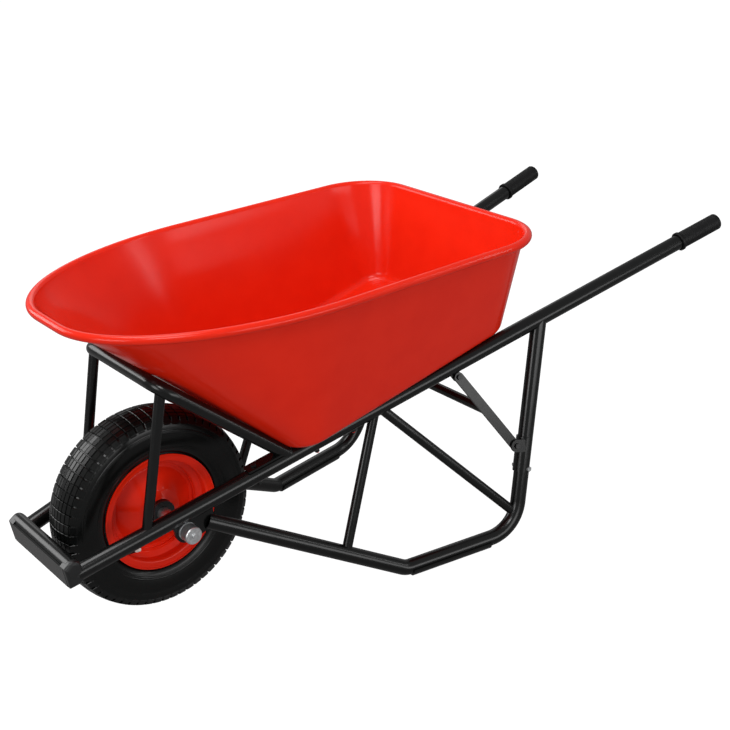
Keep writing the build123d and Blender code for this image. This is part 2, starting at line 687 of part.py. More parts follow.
cap_inner = bracket_outer + WELD_GAP
cap_outer = cap_inner + CAP_LENGTH
axle_end = cap_inner + AXLE_END_IN_CAP
with BuildPart() as axle_cap:
    with BuildSketch(side_plane(cap_inner)):
        Circle(CAP_FLANGE_RADIUS)
    extrude(amount=-CAP_FLANGE)
    with BuildSketch(side_plane(cap_inner)):
        Circle(CAP_RADIUS)
    extrude(amount=-CAP_LENGTH)
    chamfer(axle_cap.edges().filter_by(GeomType.CIRCLE).sort_by(Axis.Y)[-1], CAP_CHAMFER)
    with BuildSketch(side_plane(cap_outer)):
        Circle(CAP_BOSS_RADIUS)
    extrude(amount=-CAP_BOSS_HEIGHT)
    fillet(axle_cap.edges().filter_by(GeomType.CIRCLE).sort_by(Axis.Y)[-1], CAP_CHAMFER)
    with BuildSketch(side_plane(cap_inner)):
        Circle(axle_bore)
    extrude(amount=-AXLE_END_IN_CAP - RUNNING_GAP, mode=Mode.SUBTRACT)
save_pair(axle_cap.part, "axle_cap_nut")

save(rod(at(0, -axle_end, AXLE_Z), at(0, axle_end, AXLE_Z), AXLE_RADIUS), "axle")

# ------------------------------------------------------------------------- hub and rim
BEARING_RECESS = 1.0
bearing_outer = HUB_HALF_LENGTH - BEARING_RECESS
bearing_inner = bearing_outer - BEARING_WIDTH
CAP_SHEET = 4.0
save(ring(-HUB_HALF_LENGTH, HUB_HALF_LENGTH, HUB_OUTER_RADIUS, HUB_BORE_RADIUS), "hub_tube")
bearing_radius = HUB_BORE_RADIUS - WELD_GAP
save_pair(ring(bearing_inner, bearing_outer, bearing_radius, axle_bore), "wheel_bearing")
spacer_inner = bearing_outer + SIDE_PLAY
save_pair(ring(spacer_inner, BRACKET_INNER - WELD_GAP, SPACER_RADIUS, axle_bore), "axle_spacer")
middle_spacer_end = bearing_inner - SIDE_PLAY
save(ring(-middle_spacer_end, middle_spacer_end, SPACER_RADIUS, axle_bore), "bearing_spacer")
dust_cap_inner = HUB_HALF_LENGTH + WELD_GAP
dust_cap = ring(dust_cap_inner, dust_cap_inner + CAP_SHEET, HUB_OUTER_RADIUS, SPACER_RADIUS + RUNNING_GAP)
save_pair(dust_cap, "dust_cap")

WHEEL_SECTION = Plane(origin=at(0, 0, AXLE_Z), x_dir=(0, 1, 0), z_dir=(1, 0, 0))
WHEEL_AXIS = Axis((AXLE_X, 0, AXLE_Z), (0, 1, 0))
VALVE_RADIUS = 4.0
VALVE_ANGLE = -48.0
VALVE_START_RADIUS = 112.0
VALVE_START_LEFT = 8.0
VALVE_END_RADIUS = 86.0
VALVE_END_LEFT = 40.0
VALVE_CAP_LENGTH = 9.0


def wheel_point(radius, left, angle):
    """A point of the wheel by its radius, its distance left and its angle above forward."""
    return at(radius * cos(radians(angle)), left, AXLE_Z + radius * sin(radians(angle)))


valve_start = wheel_point(VALVE_START_RADIUS, VALVE_START_LEFT, VALVE_ANGLE)
valve_end = wheel_point(VALVE_END_RADIUS, VALVE_END_LEFT, VALVE_ANGLE)
valve_along = (valve_end - valve_start).normalized()
RIM_LIP = 4.5
RIM_SEAT_INNER = 20.0
RIM_WELL_HALF = 13.0
RIM_FLANGE_LEAN = 1.5
flange_foot = RIM_FLANGE_HALF_GAP - RIM_FLANGE_LEAN
rim_half_profile = [
    (RIM_FLANGE_HALF_GAP + RIM_LIP, RIM_FLANGE_RADIUS),
    (RIM_FLANGE_HALF_GAP, RIM_FLANGE_RADIUS),
    (flange_foot, RIM_SEAT_RADIUS),
    (RIM_SEAT_INNER, RIM_SEAT_RADIUS),
    (RIM_WELL_HALF, RIM_WELL_RADIUS),
]
rim_profile = rim_half_profile + [(-left, radius) for left, radius in reversed(rim_half_profile)]
RIM_PRESS_RADIUS = 2.6
with BuildPart() as wheel_rim:
    with BuildSketch(WHEEL_SECTION):
        with BuildLine():
            FilletPolyline(*rim_profile, radius=RIM_PRESS_RADIUS)
            offset(amount=RIM_SHEET, side=Side.LEFT)
        make_face()
    revolve(axis=WHEEL_AXIS)
    add(rod(valve_start, valve_end, VALVE_RADIUS + BORE_CLEARANCE), mode=Mode.SUBTRACT)
save(wheel_rim.part, "wheel_rim")

DISC_SEAT_OUTER = 12.0
DISC_SEAT_INNER = 5.0
DISC_VALLEY_RADIUS = 80.0
DISC_SHOULDER_RADIUS = 42.0
DISC_SHOULDER_LEFT = 31.0
DISC_HUB_LEFT = 36.0
DISC_PRESS_RADIUS = 6.0
DISC_SEAT_PRESS_RADIUS = 2.5
disc_seat_radius = RIM_WELL_RADIUS - RIM_SHEET - WELD_GAP
with BuildPart() as wheel_disc:
    with BuildSketch(WHEEL_SECTION):
        with BuildLine():
            FilletPolyline(
                (DISC_SEAT_OUTER, disc_seat_radius),
                (DISC_SEAT_INNER, disc_seat_radius),
                (DISC_SEAT_INNER, DISC_VALLEY_RADIUS),
                (DISC_SHOULDER_LEFT, DISC_SHOULDER_RADIUS),
                (DISC_HUB_LEFT, HUB_OUTER_RADIUS + WELD_GAP),
                radius=[DISC_SEAT_PRESS_RADIUS, DISC_PRESS_RADIUS, DISC_PRESS_RADIUS],
            )
            offset(amount=DISC_SHEET, side=Side.LEFT)
        make_face()
    revolve(axis=WHEEL_AXIS)
save_pair(wheel_disc.part, "wheel_disc")

# ------------------------------------------------------------- tyre, inner tube, valve
TYRE_BEAD_OUTER = 35.5
TYRE_BEAD_INNER = 26.0
TYRE_BEAD_CHAMFER = 1.0
TYRE_GAP = 0.3
TYRE_SIDEWALL = 9.0
TYRE_CROWN = 14.0
TYRE_BULGE_RADIUS = 160.0
TYRE_SHOULDER_INSET = 13.0
TYRE_SHOULDER_DROP = 7.0
bead_heel_radius = RIM_SEAT_RADIUS + TYRE_GAP
bead_shoulder_radius = RIM_FLANGE_RADIUS + TYRE_GAP
tyre_half = TYRE_WIDTH / 2


def across(half):
    """A half profile from its bead to the middle, then its twin out to the other bead."""
    return half + [(-left, radius) for left, radius in reversed(half[:-1])]


tyre_outer = across(
    [
        (TYRE_BEAD_OUTER, bead_shoulder_radius),
        (tyre_half, TYRE_BULGE_RADIUS),
        (tyre_half - TYRE_SHOULDER_INSET, WHEEL_RADIUS - TYRE_SHOULDER_DROP),
        (0, WHEEL_RADIUS),
    ]
)
tyre_inner = across(
    [
        (TYRE_BEAD_INNER, bead_shoulder_radius),
        (tyre_half - TYRE_SIDEWALL, TYRE_BULGE_RADIUS),
        (0, WHEEL_RADIUS - TYRE_CROWN),
    ]
)
bead_toe = [(TYRE_BEAD_INNER, bead_heel_radius), (TYRE_BEAD_OUTER - TYRE_BEAD_CHAMFER, bead_heel_radius)]
with BuildPart() as tyre:
    with BuildSketch(WHEEL_SECTION):
        with BuildLine():
            Spline(*tyre_outer)
            Spline(*tyre_inner)
            Polyline(tyre_inner[0], *bead_toe, tyre_outer[0])
            Polyline(*[(-left, radius) for left, radius in [tyre_inner[0]] + bead_toe + [tyre_outer[0]]])
        make_face()
    revolve(axis=WHEEL_AXIS)
save(tyre.part, "tyre")

INNER_TUBE_CENTRE = 149.0
INNER_TUBE_HALF_WIDTH = 35.0
INNER_TUBE_HALF_HEIGHT = 35.0
INNER_TUBE_WALL = 2.0
with BuildPart() as inner_tube:
    with BuildSketch(WHEEL_SECTION):
        with Locations((0, INNER_TUBE_CENTRE)):
            Ellipse(INNER_TUBE_HALF_WIDTH, INNER_TUBE_HALF_HEIGHT)
            Ellipse(
                INNER_TUBE_HALF_WIDTH - INNER_TUBE_WALL,
                INNER_TUBE_HALF_HEIGHT - INNER_TUBE_WALL,
                mode=Mode.SUBTRACT,
            )
    revolve(axis=WHEEL_AXIS)
save(inner_tube.part, "inner_tube")

valve_stem = rod(valve_start, valve_end, VALVE_RADIUS)
save(valve_stem, "valve_stem")
valve_cap_start = valve_end + valve_along * WELD_GAP
VALVE_CAP_RADIUS = 4.8
VALVE_CAP_ROUND = 1.5
with BuildPart() as valve_cap:
    with BuildSketch(Plane(origin=valve_cap_start, z_dir=valve_along)):
        Circle(VALVE_CAP_RADIUS)
    extrude(amount=VALVE_CAP_LENGTH)
    fillet(valve_cap.edges().filter_by(GeomType.CIRCLE).sort_by(Axis.Y)[-1], VALVE_CAP_ROUND)
save(valve_cap.part, "valve_cap")

# ------------------------------------------------------------------------------- tray
# The tray is pressed from one sheet. Its walls run straight from the floor's outline to
# the outline of the mouth, and the floor turns up into them in a few flat steps. Both
# outlines are drawn as a left half, from the middle of the rear to the middle of the front.
RIM_NOSE_LOCAL = FLOOR_PLANE.to_local_coords(NOSE_OF_RIM)
RIM_REAR_LOCAL = FLOOR_PLANE.to_local_coords(RIM_PLANE.origin)
EDGE_STEPS = (0, 30, 60, 90)


def wall_half(height, inset):
    """Half of the walls' outline at a height above the floor's plane, drawn in by an inset."""
    rear_share = height / RIM_REAR_LOCAL.Z
    front_share = height / RIM_NOSE_LOCAL.Z
    rear_foot = floor_station(FLOOR_REAR)
    front_foot = floor_station(FLOOR_FRONT)
    rear = rear_foot + (RIM_REAR_LOCAL.X - rear_foot) * rear_share + inset
    front = front_foot + (RIM_NOSE_LOCAL.X - front_foot) * front_share - inset
    rear_half = FLOOR_REAR_HALF + (RIM_REAR_HALF - FLOOR_REAR_HALF) * rear_share - inset
    front_half = FLOOR_FRONT_HALF + (RIM_FRONT_HALF - FLOOR_FRONT_HALF) * front_share - inset
    with BuildLine() as outline:
        FilletPolyline(
            (rear, 0),
            (rear, rear_half),
            (front, front_half),
            (front, 0),
            radius=[FLOOR_REAR_CORNER - inset, FLOOR_FRONT_CORNER - inset],
        )
    return outline.wire()


def mouth_half(inset):
    """Half of the mouth's outline: a rounded rear corner, then an elliptical nose."""
    bend = RIM_LENGTH - RIM_NOSE_LENGTH
    nose_length = RIM_NOSE_LENGTH - inset
    nose_width = RIM_FRONT_HALF - inset - RIM_NOSE_FLAT
    with BuildLine() as outline:
        FilletPolyline(
            (inset, 0),
            (inset, RIM_REAR_HALF - inset),
            (bend, RIM_FRONT_HALF - inset),
            radius=RIM_REAR_CORNER - inset,
        )
        EllipticalCenterArc((bend, RIM_NOSE_FLAT), nose_length, nose_width, 0, arc_size=90)
        Line((bend + nose_length, 0), (bend + nose_length, RIM_NOSE_FLAT))
    return outline.wire()


def whole_outline(half):
    """The edges of a half outline and of its mirror image."""
    return half.edges() + half.mirror(Plane.XZ).edges()


def tray_solid(inset):
    """The solid between floor and mouth, drawn in from the tray's outside by an inset."""
    edge_radius = FLOOR_EDGE_RADIUS - inset
    with BuildPart() as body:
        for step in EDGE_STEPS:
            height = inset + edge_radius * (1 - cos(radians(step)))
            step_inset = inset + edge_radius * (1 - sin(radians(step)))
            with BuildSketch(FLOOR_PLANE.offset(height)):
                make_face(whole_outline(wall_half(height, step_inset)))
        with BuildSketch(RIM_PLANE):
            make_face(whole_outline(mouth_half(inset)))
        loft(ruled=True)
    return body.part


# The sheet's edge is rolled outwards into a round bead.
bead_path = mouth_half(BEAD_SHEET / 2 - BEAD_RADIUS).moved(RIM_PLANE.location)
with BuildPart() as half_bead:
    with BuildSketch(Plane(origin=bead_path @ 0, z_dir=bead_path % 0)):
        Circle(BEAD_RADIUS)
        Circle(BEAD_RADIUS - BEAD_SHEET, mode=Mode.SUBTRACT)
    sweep(path=bead_path)
tray_outside = tray_solid(0)
tray_inside = tray_solid(TRAY_SHEET)
tray_drills = [drill(tray_bolt_seat(station)) for station in TRAY_BOLT_STATIONS]
with BuildPart() as tray:
    add(tray_outside)
    add(tray_inside, mode=Mode.SUBTRACT)
    add(half_bead.part)
    add(mirrored(half_bead.part))
    for tray_drill in tray_drills:
        add(tray_drill, mode=Mode.SUBTRACT)
        add(mirrored(tray_drill), mode=Mode.SUBTRACT)
save(tray.part, "tray")

tray_grip = rail_depth + TRAY_SHEET + nut_room
tray_bolts = []
tray_nuts = []
for station in TRAY_BOLT_STATIONS:
    tray_bolts.append(dome_bolt(tray_bolt_seat(station).offset(TRAY_SHEET + WELD_GAP), tray_grip))
    tray_nuts.append(hex_nut(tray_bolt_seat(station).offset(-rail_depth)))
save_group(tray_bolts, "tray_bolts")
save_group(tray_nuts, "tray_nuts")

# ------------------------------------------------------------------------------- grips
grip_plane = Plane(origin=grip_face, z_dir=BACKWARD * -1)
with BuildPart() as grip:
    with BuildSketch(grip_plane):
        Circle(GRIP_RADIUS)
    extrude(amount=GRIP_LENGTH)
    fillet(grip.edges().sort_by(Axis.X)[0], GRIP_END_ROUND)
    with BuildSketch(grip_plane.offset(GRIP_LENGTH - GRIP_COLLAR_LENGTH)):
        Circle(GRIP_COLLAR_RADIUS)
    extrude(amount=GRIP_COLLAR_LENGTH)
    with BuildSketch(grip_plane.offset(GRIP_END_WALL - BORE_CLEARANCE)):
        Circle(RAIL_RADIUS + BORE_CLEARANCE)
    extrude(amount=GRIP_LENGTH, mode=Mode.SUBTRACT)
save_pair(grip.part, "grip")
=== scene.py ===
import json
from math import atan2, cos, pi, radians, sin, sqrt

import bmesh
import bpy
from mathutils import Matrix, Vector, geometry


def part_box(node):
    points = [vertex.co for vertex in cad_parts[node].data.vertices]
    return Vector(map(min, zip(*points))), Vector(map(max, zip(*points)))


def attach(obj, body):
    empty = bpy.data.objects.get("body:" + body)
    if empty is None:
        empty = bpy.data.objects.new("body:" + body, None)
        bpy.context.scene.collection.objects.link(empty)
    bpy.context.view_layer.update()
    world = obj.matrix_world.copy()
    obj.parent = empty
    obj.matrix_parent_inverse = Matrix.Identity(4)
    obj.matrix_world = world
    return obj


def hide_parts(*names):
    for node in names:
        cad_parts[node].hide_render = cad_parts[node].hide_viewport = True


# The looks of a single-wheel barrow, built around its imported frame. Lengths are in metres.
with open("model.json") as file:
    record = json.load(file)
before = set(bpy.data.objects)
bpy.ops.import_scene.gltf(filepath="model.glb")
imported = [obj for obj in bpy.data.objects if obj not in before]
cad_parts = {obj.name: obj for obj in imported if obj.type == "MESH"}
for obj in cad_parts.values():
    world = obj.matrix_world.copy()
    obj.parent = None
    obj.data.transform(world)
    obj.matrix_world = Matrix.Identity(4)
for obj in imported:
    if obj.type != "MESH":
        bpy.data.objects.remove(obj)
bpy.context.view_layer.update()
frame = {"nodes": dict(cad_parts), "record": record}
MM = 0.001

# ------------------------------------------------------------------ sizes from the frame
axle_low, axle_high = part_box("axle")
AXLE = (axle_low + axle_high) / 2
tyre_low, tyre_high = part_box("tyre")
WHEEL_RADIUS = (tyre_high.z - tyre_low.z) / 2
TYRE_HALF = (tyre_high.y - tyre_low.y) / 2
RAIL_RADIUS = 16 * MM
RAIL_RISE = 0.309
RAIL_SPREAD = 0.122
RAIL_HALF_GAP_AT_AXLE = 133 * MM
RAIL_ABOVE_AXLE = 35 * MM
BACKWARD = Vector((-1, RAIL_SPREAD, RAIL_RISE)).normalized()
ACROSS = Vector((0, 1, 0))
SIDES = {"left": 1, "right": -1}


def rail_at(ahead):
    """The point of the left rail's centre line at a distance ahead of the axle."""
    left = RAIL_HALF_GAP_AT_AXLE - RAIL_SPREAD * ahead
    return AXLE + Vector((ahead, left, RAIL_ABOVE_AXLE - RAIL_RISE * ahead))


# ------------------------------------------------------------------------------ materials
def colour(code):
    """An sRGB hex colour as linear RGBA."""
    shares = [int(code[start : start + 2], 16) / 255 for start in (1, 3, 5)]
    linear = [s / 12.92 if s <= 0.04045 else ((s + 0.055) / 1.055) ** 2.4 for s in shares]
    return (*linear, 1.0)


def per_mm(size):
    """The texture scale whose cells are about a size in millimetres."""
    return 1 / (size * MM)


def node(tree, kind, inputs):
    """Add one node, and set or link each named input."""
    made = tree.nodes.new("ShaderNode" + kind)
    for name, value in inputs.items():
        if isinstance(value, bpy.types.NodeSocket):
            tree.links.new(value, made.inputs[name])
        else:
            made.inputs[name].default_value = value
    return made


# Where a mottle's two colours begin to mix on the noise
MOTTLE_LOW = 0.35
MOTTLE_HIGH = 0.65


def finish_material(name, surface, mottle, roughness, bumps):
    """A material from its shader values, two mottled colours, a roughness span and bumps.

    mottle is (colour, colour, size in mm), roughness is (low, high, size in mm), and each
    bump is (kind of texture, size in mm, height in mm).
    """
    made = bpy.data.materials.new(name)
    made.use_nodes = True
    tree = made.node_tree
    tree.nodes.clear()
    place = node(tree, "TexCoord", {}).outputs["Object"]
    first, second, mottle_size = mottle
    cloud = node(tree, "TexNoise", {"Vector": place, "Scale": per_mm(mottle_size), "Detail": 4.0})
    tint = node(tree, "ValToRGB", {"Fac": cloud.outputs["Fac"]})
    tint.color_ramp.elements[0].position = MOTTLE_LOW
    tint.color_ramp.elements[0].color = colour(first)
    tint.color_ramp.elements[1].position = MOTTLE_HIGH
    tint.color_ramp.elements[1].color = colour(second)
    low, high, sheen_size = roughness
    haze = node(tree, "TexNoise", {"Vector": place, "Scale": per_mm(sheen_size), "Detail": 3.0})
    gloss = node(tree, "MapRange", {"Value": haze.outputs["Fac"], "To Min": low, "To Max": high})
    shader = node(tree, "BsdfPrincipled", surface)
    tree.links.new(tint.outputs["Color"], shader.inputs["Base Color"])
    tree.links.new(gloss.outputs["Result"], shader.inputs["Roughness"])
    normal = None
    for kind, size, height in bumps:
        texture = node(tree, kind, {"Vector": place, "Scale": per_mm(size)})
        grain = texture.outputs["Distance"] if kind == "TexVoronoi" else texture.outputs["Fac"]
        relief = node(tree, "Bump", {"Height": grain, "Strength": 1.0, "Distance": height * MM})
        if normal is not None:
            tree.links.new(normal, relief.inputs["Normal"])
        normal = relief.outputs["Normal"]
    if normal is not None:
        tree.links.new(normal, shader.inputs["Normal"])
    node(tree, "OutputMaterial", {"Surface": shader.outputs["BSDF"]})
    return made


# Baked alkyd enamel on pressed steel: a deep orange red, glossy, with the faint ripple of
# sprayed paint, so that highlights are clear but their edges wander.
enamel = finish_material(
    "baked_red_enamel",
    {"IOR": 1.5, "Specular IOR Level": 0.26},
    ("#E4240D", "#E8270F", 60),
    (0.15, 0.22, 25),
    [("TexNoise", 4, 0.012), ("TexNoise", 45, 0.06)],
)

# Polyester powder coat baked on steel tube: near black, with a fine orange peel that breaks
# up long highlights.
powder_coat = finish_material(
    "black_powder_coat",
    {"IOR": 1.5, "Specular IOR Level": 0.4},
    ("#070808", "#0B0C0C", 30),
    (0.18, 0.26, 12),
    [("TexNoise", 2.2, 0.02)],
)

# Vulcanised tyre rubber: black, a satin sheen where the mould was polished, a fine grain.
tyre_rubber = finish_material(
    "vulcanised_tyre_rubber",
    {"IOR": 1.5, "Specular IOR Level": 0.3},
    ("#060707", "#090A09", 14),
    (0.2, 0.28, 8),
    [("TexNoise", 1.2, 0.03)],
)

# Butyl rubber: smooth, flat black.
butyl = finish_material(
    "butyl_rubber",
    {"IOR": 1.5, "Specular IOR Level": 0.3},
    ("#0B0B0B", "#101010", 20),
    (0.45, 0.6, 10),
    [("TexNoise", 1.5, 0.03)],
)

# Moulded grip rubber, a soft thermoplastic: black, dull on the ribs and finely grained.
grip_rubber = finish_material(
    "moulded_grip_rubber",
    {"IOR": 1.5, "Specular IOR Level": 0.25},
    ("#080809", "#0C0C0D", 10),
    (0.42, 0.55, 6),
    [("TexVoronoi", 0.9, 0.03)],
)

# Black oxide on steel fasteners: dark and oily, with a satin sheen on the machined faces.
black_oxide = finish_material(
    "black_oxide_steel",
    {"IOR": 1.5, "Specular IOR Level": 0.5},
    ("#0C0C0D", "#131314", 4),
    (0.28, 0.42, 3),
    [("TexNoise", 0.7, 0.01)],
)

# Injection-moulded polyethylene: black with an even satin face.
black_plastic = finish_material(
    "moulded_black_polyethylene",
    {"IOR": 1.51},
    ("#101112", "#161718", 18),
    (0.28, 0.4, 8),
    [("TexNoise", 1.0, 0.01)],
)

# White polyethylene dust cap: slightly translucent to the eye and a little warm.
white_plastic = finish_material(
    "moulded_white_polyethylene",
    {"IOR": 1.51, "Subsurface Weight": 0.1, "Subsurface Radius": (0.002, 0.002, 0.002)},
    ("#D8D6D0", "#E4E2DC", 4),
    (0.3, 0.42, 3),
    [("TexNoise", 0.8, 0.01)],
)

# Bright zinc plate on turned steel: cool silver grey with soft blotches of passivation.
zinc = finish_material(
    "bright_zinc_plate",
    {"Metallic": 1.0},
    ("#C4C6C8", "#E0E2E3", 5),
    (0.3, 0.46, 4),
    [("TexNoise", 0.7, 0.02)],
)

# Ground bearing steel: brighter and smoother than the zinc, with the faint lay of grinding.
bearing_steel = finish_material(
    "ground_bearing_steel",
    {"Metallic": 1.0},
    ("#B6B5B2", "#C6C5C2", 6),
    (0.16, 0.26, 3),
    [("TexNoise", 0.5, 0.01)],
)

FINISHES = {
    "red_enamel": enamel,
    "black_powder_coat": powder_coat,
    "tyre_rubber": tyre_rubber,
    "butyl": butyl,
    "grip_rubber": grip_rubber,
    "black_plastic": black_plastic,
    "white_plastic": white_plastic,
    "zinc_plate": zinc,
    "black_oxide": black_oxide,
    "bearing_steel": bearing_steel,
}
SLOTS = {entry["node"]: entry["material_slot"] for entry in frame["record"]["subparts"]}
for entry in frame["record"]["subparts"]:
    part = frame["nodes"][entry["node"]]
    finish = FINISHES[entry["material_slot"]]
    if not part.material_slots:
        part.data.materials.append(finish)
    for place in part.material_slots:
        place.material = finish


# ------------------------------------------------------------------------ mesh helpers
MERGE_GAP = 0.01 * MM


def piece(name, mesh, slot, body, replaced=(), shell=None, smooth=True):
    """Make a finished piece of a bmesh: its object, finish, body and the nodes it replaces."""
    data = bpy.data.meshes.new(name)
    mesh.to_mesh(data)
    mesh.free()
    for face in data.polygons:
        face.use_smooth = smooth or face.use_smooth
    made = bpy.data.objects.new(name, data)
    bpy.context.scene.collection.objects.link(made)
    data.materials.append(FINISHES[slot])
    if shell is not None:
        wall = made.modifiers.new("wall", "SOLIDIFY")
        wall.thickness = shell
        wall.offset = 0
        wall.use_even_offset = True
    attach(made, body)
    if replaced:
        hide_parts(*replaced)


def grow(mesh, loop, places):
    """Extrude a closed loop of points once, and put the new points on their places."""
    edges = [mesh.edges.get(pair) for pair in zip(loop, loop[1:] + loop[:1])]
    made = bmesh.ops.extrude_edge_only(mesh, edges=edges)["geom"]
    fresh = {item for item in made if isinstance(item, bmesh.types.BMVert)}
    ring = []
    for point, place in zip(loop, places):
        others = [edge.other_vert(point) for edge in point.link_edges]
        partner = next(other for other in others if other in fresh)
        partner.co = place
        ring.append(partner)
    return ring


def loft(mesh, rings):
    """A skin through rings of places that match point for point; gives the first loop."""
    first = bmesh.ops.create_circle(mesh, segments=len(rings[0]), radius=1)["verts"]
    for point, place in zip(first, rings[0]):
        point.co = place
    loop = first
    for places in rings[1:]:
        loop = grow(mesh, loop, places)
    return first


def turned(mesh, profile, centre, axis, out, steps):
    """Turn a profile of (along, radius) points about an axis into a closed skin."""
    points = [mesh.verts.new(centre + axis * along + out * radius) for along, radius in profile]
    edges = [mesh.edges.new(pair) for pair in zip(points, points[1:])]
    bmesh.ops.spin(
        mesh,
        geom=points + edges,
        cent=centre,
        axis=axis,
        angle=2 * pi,
        steps=steps,
        use_merge=True,
    )
    bmesh.ops.remove_doubles(mesh, verts=mesh.verts, dist=MERGE_GAP)
    bmesh.ops.recalc_face_normals(mesh, faces=mesh.faces)


def arc(centre, radius, start, stop, steps):
    """Points of a round stretch of a profile, with its angles in degrees."""
    turns = [radians(start + (stop - start) * step / steps) for step in range(steps + 1)]
    return [(centre[0] + radius * cos(turn), centre[1] + radius * sin(turn)) for turn in turns]


# -------------------------------------------------------------------------------- tray
# The tray is one pressed sheet. Its skin is lofted at mid thickness, and then gets its wall.
SHEET = 1.5 * MM
FLOOR_FRONT = -220 * MM
FLOOR_REAR = -724 * MM
FLOOR_FRONT_HALF = 208 * MM
FLOOR_REAR_HALF = 222 * MM
FLOOR_FRONT_CORNER = 55 * MM
FLOOR_REAR_CORNER = 50 * MM
FLOOR_BEND = 15 * MM
RIM_REAR = -746 * MM
RIM_REAR_HEIGHT = 678 * MM
RIM_LENGTH = 921 * MM
RIM_DROP = radians(4.3)
RIM_REAR_HALF = 287 * MM
RIM_FRONT_HALF = 296 * MM
RIM_REAR_CORNER = 110 * MM
RIM_NOSE_LENGTH = 420 * MM
RIM_NOSE_FLAT = 40 * MM
BEAD_RADIUS = 7.75 * MM
BEAD_STEPS = 22
BEAD_STOP = -130
BEND_STEPS = 10
WALL_STEPS = 10
# Steps round each outline: across the rear, its corner, the side, the nose's turn, the nose
REAR_STEPS = 6
REAR_TURN_STEPS = 14
SIDE_STEPS = 16
NOSE_TURN_STEPS = 36
NOSE_STEPS = 4
# The insets of the floor's inner rings, as multiples of its bend
FLOOR_RINGS = (4, 1.3)

slope = sqrt(1 + RAIL_RISE**2)
floor_normal = Vector((RAIL_RISE, 0, 1)) / slope
floor_forward = Vector((1, 0, -RAIL_RISE)) / slope
floor_origin = AXLE + Vector((0, 0, RAIL_ABOVE_AXLE)) + floor_normal * (RAIL_RADIUS + SHEET / 2)
rim_forward = Vector((cos(RIM_DROP), 0, -sin(RIM_DROP)))
rim_normal = Vector((sin(RIM_DROP), 0, cos(RIM_DROP)))
rim_origin = Vector((AXLE.x + RIM_REAR, 0, RIM_REAR_HEIGHT))


def quarter(corner, back, onward, steps):
    """A quarter of an ellipse that rounds a corner, from one tangent to the other."""
    turns = [radians(90 * step / steps) for step in range(steps + 1)]
    return [corner + back * (1 - sin(turn)) + onward * (1 - cos(turn)) for turn in turns]


def straight(start, end, steps):
    """Points of a straight stretch, without its two ends."""
    return [start.lerp(end, step / steps) for step in range(1, steps)]


def outline(rear, front, rear_half, front_half, rear_cut, side_cut, nose_cut):
    """A closed outline, from the middle of the rear round the left to the front and back."""
    corner = Vector((rear, rear_half))
    side_end = Vector((front - side_cut, front_half))
    along = (side_end - corner).normalized()
    rear_turn = quarter(corner, Vector((0, -rear_cut)), along * rear_cut, REAR_TURN_STEPS)
    nose_corner = Vector((front, front_half))
    nose_back = Vector((-side_cut, 0))
    nose_turn = quarter(nose_corner, nose_back, Vector((0, -nose_cut)), NOSE_TURN_STEPS)
    half = straight(Vector((rear, 0)), rear_turn[0], REAR_STEPS) + rear_turn
    half += straight(rear_turn[-1], side_end, SIDE_STEPS) + nose_turn
    half += straight(nose_turn[-1], Vector((front, 0)), NOSE_STEPS)
    mirrored = [Vector((point.x, -point.y)) for point in reversed(half)]
    return [Vector((rear, 0))] + half + [Vector((front, 0))] + mirrored


def floor_ring(inset):
    """The floor's outline in its own plane, drawn in by an inset."""
    points = outline(
        FLOOR_REAR * slope + inset,
        FLOOR_FRONT * slope - inset,
        FLOOR_REAR_HALF - inset,
        FLOOR_FRONT_HALF - inset,
        FLOOR_REAR_CORNER - min(inset, FLOOR_BEND),
        FLOOR_FRONT_CORNER - min(inset, FLOOR_BEND),
        FLOOR_FRONT_CORNER - min(inset, FLOOR_BEND),
    )
    start = floor_origin + floor_forward * (floor_origin.x - AXLE.x) * -RAIL_RISE**2
    return [start + floor_forward * p.x + ACROSS * p.y for p in points]


def rim_ring(inset, lift):
    """The mouth's outline, drawn in by an inset and lifted off the mouth's plane."""
    points = outline(
        inset,
        RIM_LENGTH - inset,
        RIM_REAR_HALF - inset,
        RIM_FRONT_HALF - inset,
        RIM_REAR_CORNER - inset,
        RIM_NOSE_LENGTH - inset,
        RIM_FRONT_HALF - inset - RIM_NOSE_FLAT,
    )
    return [rim_origin + rim_forward * p.x + ACROSS * p.y + rim_normal * lift for p in points]


def between(first, second, share):
    """A ring part of the way from one ring to another."""
    return [a.lerp(b, share) for a, b in zip(first, second)]


def pressed_tray():
    """The tray: flat floor, rounded edge, straight walls and an outward rolled bead."""
    corner = floor_ring(SHEET / 2)
    mouth = rim_ring(SHEET / 2, 0)
    flat = floor_ring(FLOOR_BEND)
    wall_foot = [c + (m - c).normalized() * FLOOR_BEND for c, m in zip(corner, mouth)]
    rings = [floor_ring(FLOOR_BEND * share) for share in FLOOR_RINGS]
    bends = []
    for start, turn, end in zip(flat, corner, wall_foot):
        handle_in = start.lerp(turn, 2 / 3)
        handle_out = end.lerp(turn, 2 / 3)
        bends.append(geometry.interpolate_bezier(start, handle_in, handle_out, end, BEND_STEPS + 1))
    for step in range(BEND_STEPS + 1):
        rings.append([bend[step] for bend in bends])
    for step in range(1, WALL_STEPS):
        rings.append(between(wall_foot, mouth, step / WALL_STEPS))
    for step in range(BEAD_STEPS + 1):
        turn = radians(180 + (BEAD_STOP - 180) * step / BEAD_STEPS)
        outwards = BEAD_RADIUS - SHEET / 2 + BEAD_RADIUS * cos(turn)
        rings.append(rim_ring(-outwards, BEAD_RADIUS * sin(turn)))
    mesh = bmesh.new()
    first = loft(mesh, rings)
    bmesh.ops.contextual_create(mesh, geom=first)
    bmesh.ops.recalc_face_normals(mesh, faces=mesh.faces)
    piece("tray_pressing", mesh, "red_enamel", "frame", ["tray"], shell=SHEET)


pressed_tray()

